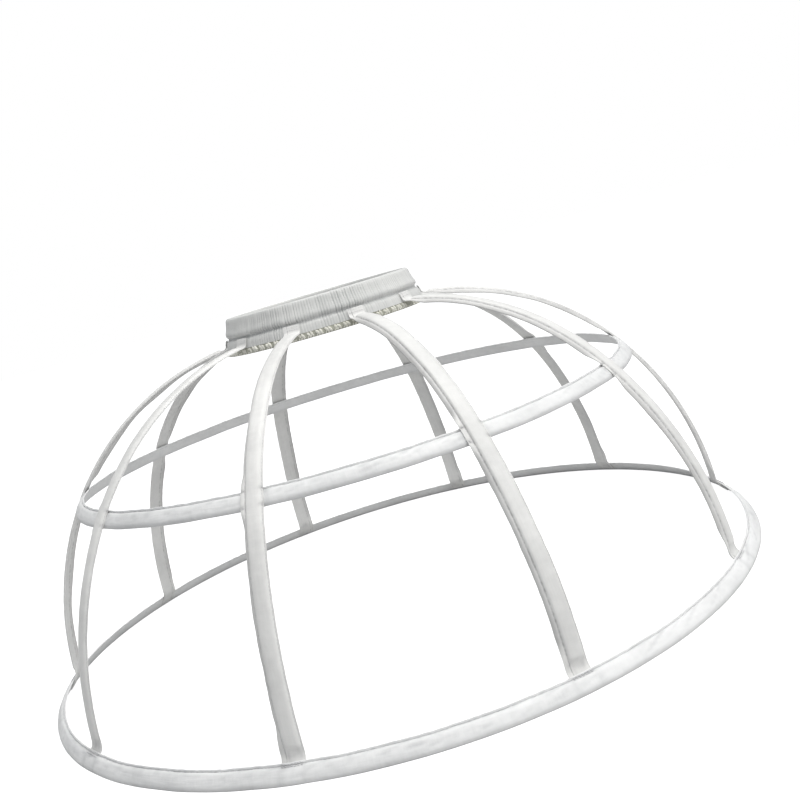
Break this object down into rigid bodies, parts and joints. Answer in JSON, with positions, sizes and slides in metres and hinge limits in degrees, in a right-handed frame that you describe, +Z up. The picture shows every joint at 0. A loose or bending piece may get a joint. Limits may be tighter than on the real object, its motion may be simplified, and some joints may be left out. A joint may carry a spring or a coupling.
{
  "type": "crinoline cage",
  "caption": "Boned hoop skirt frame: an elastic waistband carries curved tape ribs that fan out over a middle hoop to a wide hem hoop and hold a skirt away from the legs.",
  "frame": {"origin": "on the hoops' axis, in the plane the hem stands on", "axes": "+Z up along the hoops' axis, the front between two ribs faces -Y, +X to the right seen from the front"},
  "size_m": [0.7599, 0.76, 0.338],
  "materials": {
    "satin_tape": "white polyester satin tape, soft sheen",
    "waistband_satin": "white gathered polyester satin over elastic",
    "overlock_thread": "white overlock thread over a gathered raw edge",
    "elastic": "woven white elastic",
    "boning": "white plastic coated flat boning",
    "crimped_steel": "thin crimped steel sleeve"
  },
  "bodies": {
    "root": {"waistband_casing": "waistband_satin", "waist_elastic": "elastic", "overlocked_edge": "overlock_thread", "middle_hoop_casing": "satin_tape", "middle_hoop_bone": "boning", "middle_hoop_sleeve": "crimped_steel", "hem_casing": "satin_tape", "hem_bone": "boning", "hem_sleeve": "crimped_steel", "rib_casing_1": "satin_tape", "rib_casing_2": "satin_tape", "rib_casing_3": "satin_tape", "rib_casing_4": "satin_tape", "rib_casing_5": "satin_tape", "rib_casing_6": "satin_tape", "rib_casing_7": "satin_tape", "rib_casing_8": "satin_tape", "rib_casing_9": "satin_tape", "rib_casing_10": "satin_tape", "rib_bone_1": "boning", "rib_bone_2": "boning", "rib_bone_3": "boning", "rib_bone_4": "boning", "rib_bone_5": "boning", "rib_bone_6": "boning", "rib_bone_7": "boning", "rib_bone_8": "boning", "rib_bone_9": "boning", "rib_bone_10": "boning"}
  },
  "joints": []
}
